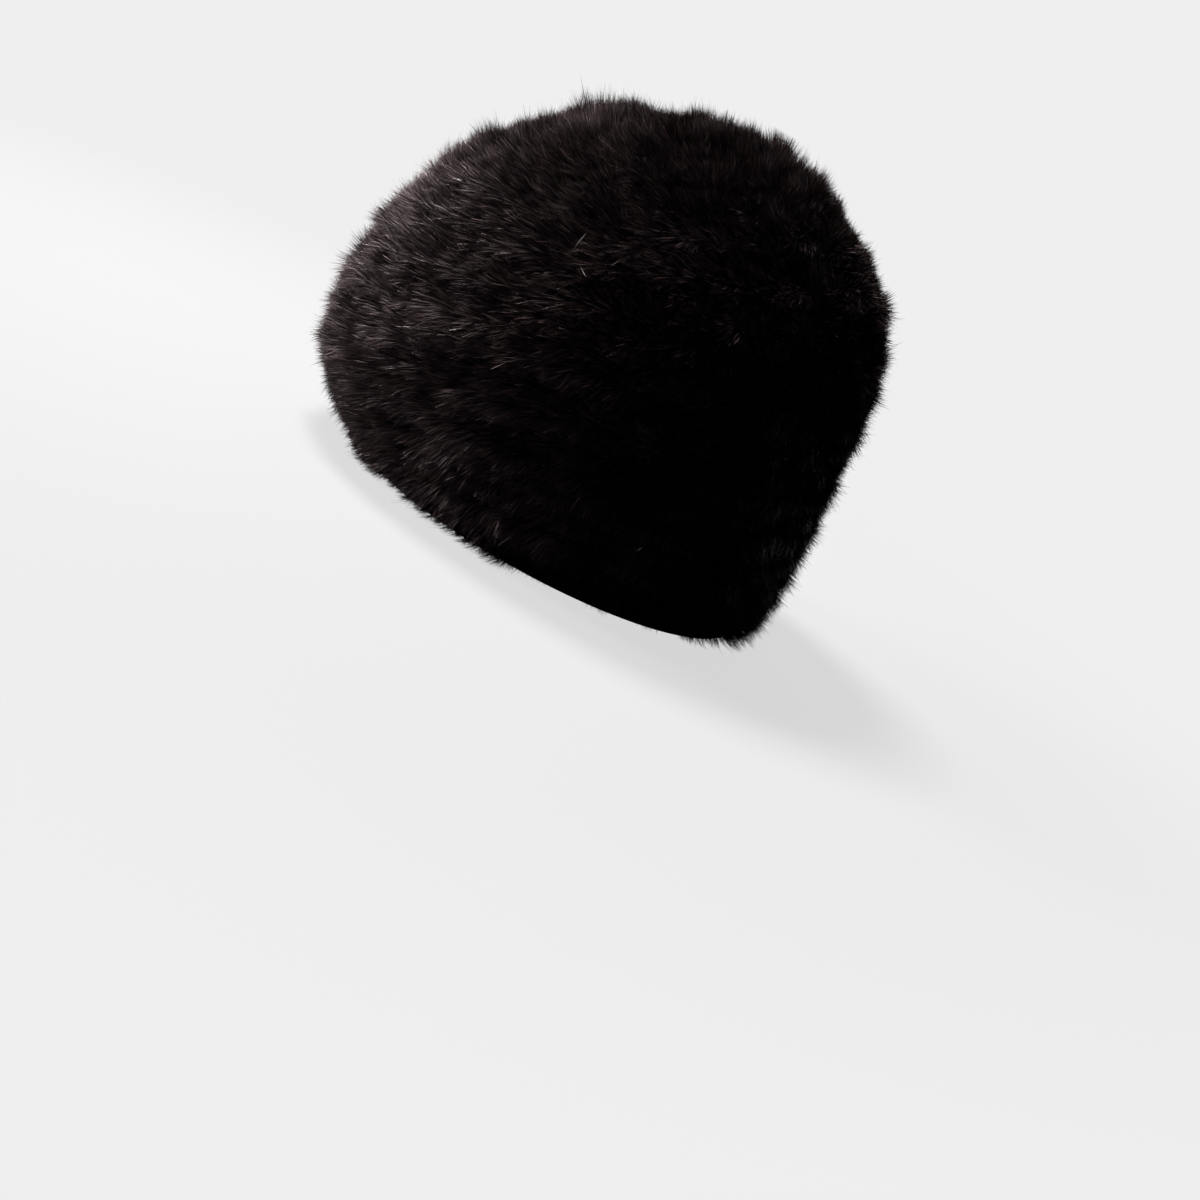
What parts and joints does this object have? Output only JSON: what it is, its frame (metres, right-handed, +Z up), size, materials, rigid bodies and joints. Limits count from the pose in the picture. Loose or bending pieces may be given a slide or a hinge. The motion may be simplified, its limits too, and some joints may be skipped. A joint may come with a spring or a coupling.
{
  "type": "knit fur beanie",
  "caption": "Deep pull-on cap worked from rounds of dark fur strip over a soft knitted dome, open below, with a turned edge and a crown that leans to the front.",
  "frame": {"origin": "on the floor, below the middle of the hat's box, with the flat underside of the turned edge at z = 0", "axes": "+Z up out of the crown, -Y the front of the hat, +X the wearer's left"},
  "size_m": [0.2248, 0.2522, 0.2085],
  "materials": {
    "fur": "glossy guard hair over dense matt underfur",
    "edge_fur": "short smooth fur at the turned edge",
    "knit": "matt knitted yarn"
  },
  "bodies": {
    "root": {"knit_base": "knit", "rim_edge": "edge_fur", "fur_round_01": "fur", "fur_round_02": "fur", "fur_round_03": "fur", "fur_round_04": "fur", "fur_round_05": "fur", "fur_round_06": "fur", "fur_round_07": "fur", "fur_round_08": "fur", "fur_round_09": "fur", "fur_round_10": "fur", "fur_round_11": "fur", "fur_round_12": "fur", "crown_rosette": "fur"}
  },
  "joints": []
}
